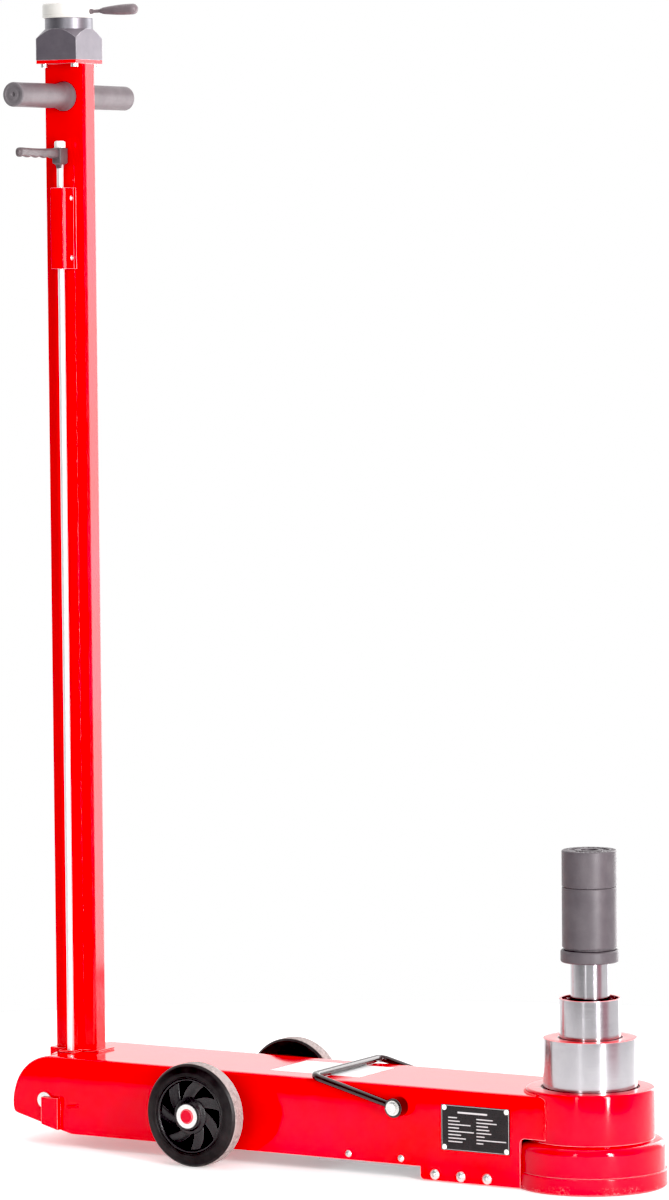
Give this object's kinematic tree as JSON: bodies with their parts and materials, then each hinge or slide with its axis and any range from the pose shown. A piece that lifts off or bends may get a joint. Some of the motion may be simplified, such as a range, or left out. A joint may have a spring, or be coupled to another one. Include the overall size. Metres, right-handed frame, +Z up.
{
  "type": "car jack",
  "caption": "Wheeled air-hydraulic truck jack: telescopic chromed rams with lift-off extensions on a round foot, long red body, and a tilting T-bar post with valve head.",
  "frame": {"origin": "on the floor, in the middle of the foot disc, on the axis of the rams", "axes": "+X from the post towards the foot's free side, along the body; +Y across the body, away from the squeeze lever; +Z up, along the rams"},
  "size_m": [0.9525, 0.302, 1.5535],
  "materials": {
    "red_paint": "high gloss enamel",
    "ram_chrome": "ground and chromed, bright",
    "zinc_steel": "zinc plated, satin",
    "dark_steel": "phosphated, matt",
    "spring_steel": "bright drawn wire",
    "axle_paint": "gloss enamel over turned steel",
    "bearing_bronze": "turned",
    "cast_alloy": "cast and machined, dull",
    "cover_steel": "galvanised sheet, dull",
    "valve_metal": "dark anodised, satin",
    "valve_neck_metal": "turned, bright",
    "cap_plastic": "ivory, semi-gloss",
    "knob_plastic": "brown-grey, satin",
    "lever_plastic": "grey-brown, satin",
    "nut_plastic": "white, semi-gloss",
    "grip_rubber": "grey-mauve, matt",
    "hose_rubber": "smooth",
    "tyre_rubber": "moulded, dusty tread",
    "wheel_plastic": "moulded, satin",
    "bail_paint": "gloss black-brown enamel",
    "plate_paint": "black anodised sheet, satin",
    "label_film": "white vinyl"
  },
  "bodies": {
    "chassis": {"foot_disc": "red_paint", "outer_cylinder": "red_paint", "gland_bush_1": "bearing_bronze", "side_plate_near": "red_paint", "side_plate_far": "red_paint", "top_cover": "red_paint", "bottom_cover": "cover_steel", "cover_screws": "zinc_steel", "base_plate": "red_paint", "skirt_bolts": "zinc_steel", "nameplate": "plate_paint", "nameplate_rivets": "nut_plastic", "top_label": "label_film", "pivot_pin": "zinc_steel", "pivot_keepers": "red_paint", "axle": "axle_paint", "axle_spacers": "wheel_plastic", "axle_washers": "zinc_steel", "bail_bolts": "zinc_steel", "oil_reservoir": "cast_alloy", "pump_block": "cast_alloy", "air_motor_barrel": "cast_alloy", "motor_end_cap": "cast_alloy", "pressure_pipe": "spring_steel", "plunger_spring": "spring_steel"},
    "piston_1": {"piston_1": "ram_chrome", "gland_bush_2": "bearing_bronze"},
    "piston_2": {"piston_2": "ram_chrome", "gland_bush_3": "red_paint"},
    "piston_3": {"piston_3": "ram_chrome", "saddle_flange": "dark_steel"},
    "lower_extension": {"extension_lower": "dark_steel"},
    "upper_extension": {"extension_upper": "dark_steel"},
    "air_piston": {"air_piston": "cast_alloy", "pump_plunger": "spring_steel"},
    "post": {"post_tube": "red_paint", "post_collar": "red_paint", "pivot_hub": "red_paint", "rod_guide": "red_paint", "guide_screws": "zinc_steel", "cross_tube": "zinc_steel", "grip_near": "grip_rubber", "grip_far": "grip_rubber", "valve_plate": "red_paint", "valve_plate_bolts": "zinc_steel", "valve_body": "valve_metal", "valve_neck": "valve_neck_metal", "air_hose": "hose_rubber", "rod_spring": "spring_steel"},
    "release_rod": {"release_rod": "ram_chrome", "squeeze_lever": "lever_plastic", "lever_cap_nut": "nut_plastic"},
    "valve_handle": {"valve_cap": "cap_plastic", "valve_stem": "knob_plastic", "valve_knob": "knob_plastic"},
    "wheel_near": {"tyre_near": "tyre_rubber", "wheel_hub_near": "wheel_plastic"},
    "wheel_far": {"tyre_far": "tyre_rubber", "wheel_hub_far": "wheel_plastic"},
    "bail": {"carry_bail": "bail_paint"}
  },
  "joints": [
    {"name": "ram_1_lift", "type": "slide", "parent": "chassis", "child": "piston_1", "axis": [0, 0, 1], "range_m": [-0.059, 0.003]},
    {"name": "ram_2_lift", "type": "slide", "parent": "piston_1", "child": "piston_2", "axis": [0, 0, 1], "range_m": [-0.047, 0.003]},
    {"name": "ram_3_lift", "type": "slide", "parent": "piston_2", "child": "piston_3", "axis": [0, 0, 1], "range_m": [-0.046, 0.003]},
    {"name": "lower_extension_lift_off", "type": "slide", "parent": "piston_3", "child": "lower_extension", "axis": [0, 0, 1], "range_m": [0, 0.03]},
    {"name": "upper_extension_lift_off", "type": "slide", "parent": "lower_extension", "child": "upper_extension", "axis": [0, 0, 1], "range_m": [0, 0.03]},
    {"name": "pump_stroke", "type": "slide", "parent": "chassis", "child": "air_piston", "axis": [1, 0, 0], "range_m": [0, 0.03], "stiffness_N_per_m": 600, "springref_m": -0.01, "deforming": ["plunger_spring"]},
    {"name": "post_tilt", "type": "hinge", "parent": "chassis", "child": "post", "pos_m": [-0.799, 0, 0.062], "axis": [0, -1, 0], "range_deg": [0, 85]},
    {"name": "rod_lift", "type": "slide", "parent": "post", "child": "release_rod", "axis": [0, 0, 1], "range_m": [0, 0.012], "stiffness_N_per_m": 800, "springref_m": -0.01, "deforming": ["rod_spring"]},
    {"name": "valve_turn", "type": "hinge", "parent": "post", "child": "valve_handle", "pos_m": [-0.793, 0, 1.54], "axis": [0, 0, 1], "range_deg": [-40, 40], "stiffness_Nm_per_rad": 0.5},
    {"name": "wheel_near_spin", "type": "hinge", "parent": "chassis", "child": "wheel_near", "pos_m": [-0.5275, -0.127, 0.0695], "axis": [0, 1, 0], "continuous": true},
    {"name": "wheel_far_spin", "type": "hinge", "parent": "chassis", "child": "wheel_far", "pos_m": [-0.5275, 0.127, 0.0695], "axis": [0, 1, 0], "continuous": true},
    {"name": "bail_swing", "type": "hinge", "parent": "chassis", "child": "bail", "pos_m": [-0.24, 0, 0.095], "axis": [0, 1, 0], "range_deg": [0, 150]}
  ]
}
